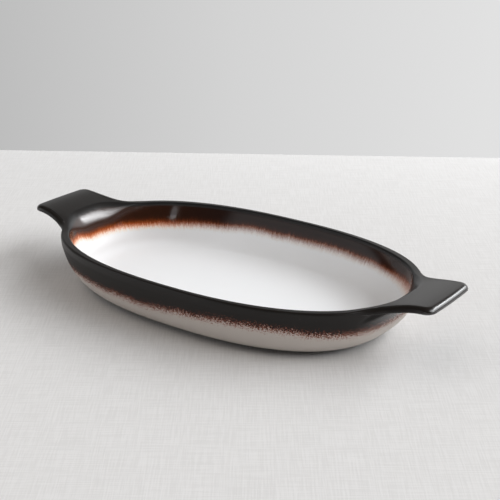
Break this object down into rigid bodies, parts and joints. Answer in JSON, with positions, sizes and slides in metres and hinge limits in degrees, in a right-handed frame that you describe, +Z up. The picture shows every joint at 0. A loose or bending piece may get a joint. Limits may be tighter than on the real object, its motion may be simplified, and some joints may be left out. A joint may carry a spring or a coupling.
{
  "type": "oval eared serving dish",
  "caption": "Shallow oval stoneware serving dish with a flat flared ear at each end, standing on a foot ring.",
  "frame": {"origin": "middle of the foot ring, on the surface the dish stands on", "axes": "+X through the two ears, +Y across the dish, +Z up"},
  "size_m": [0.369, 0.1744, 0.0483],
  "materials": {
    "base_glaze": "glossy off-white glaze with fine speckle",
    "rim_glaze": "satin charcoal glaze, amber where it thins",
    "bare_clay": "unglazed fired stoneware"
  },
  "bodies": {
    "root": {"bowl": "base_glaze", "left_ear": "rim_glaze", "right_ear": "rim_glaze", "foot_ring": "bare_clay"}
  },
  "joints": []
}
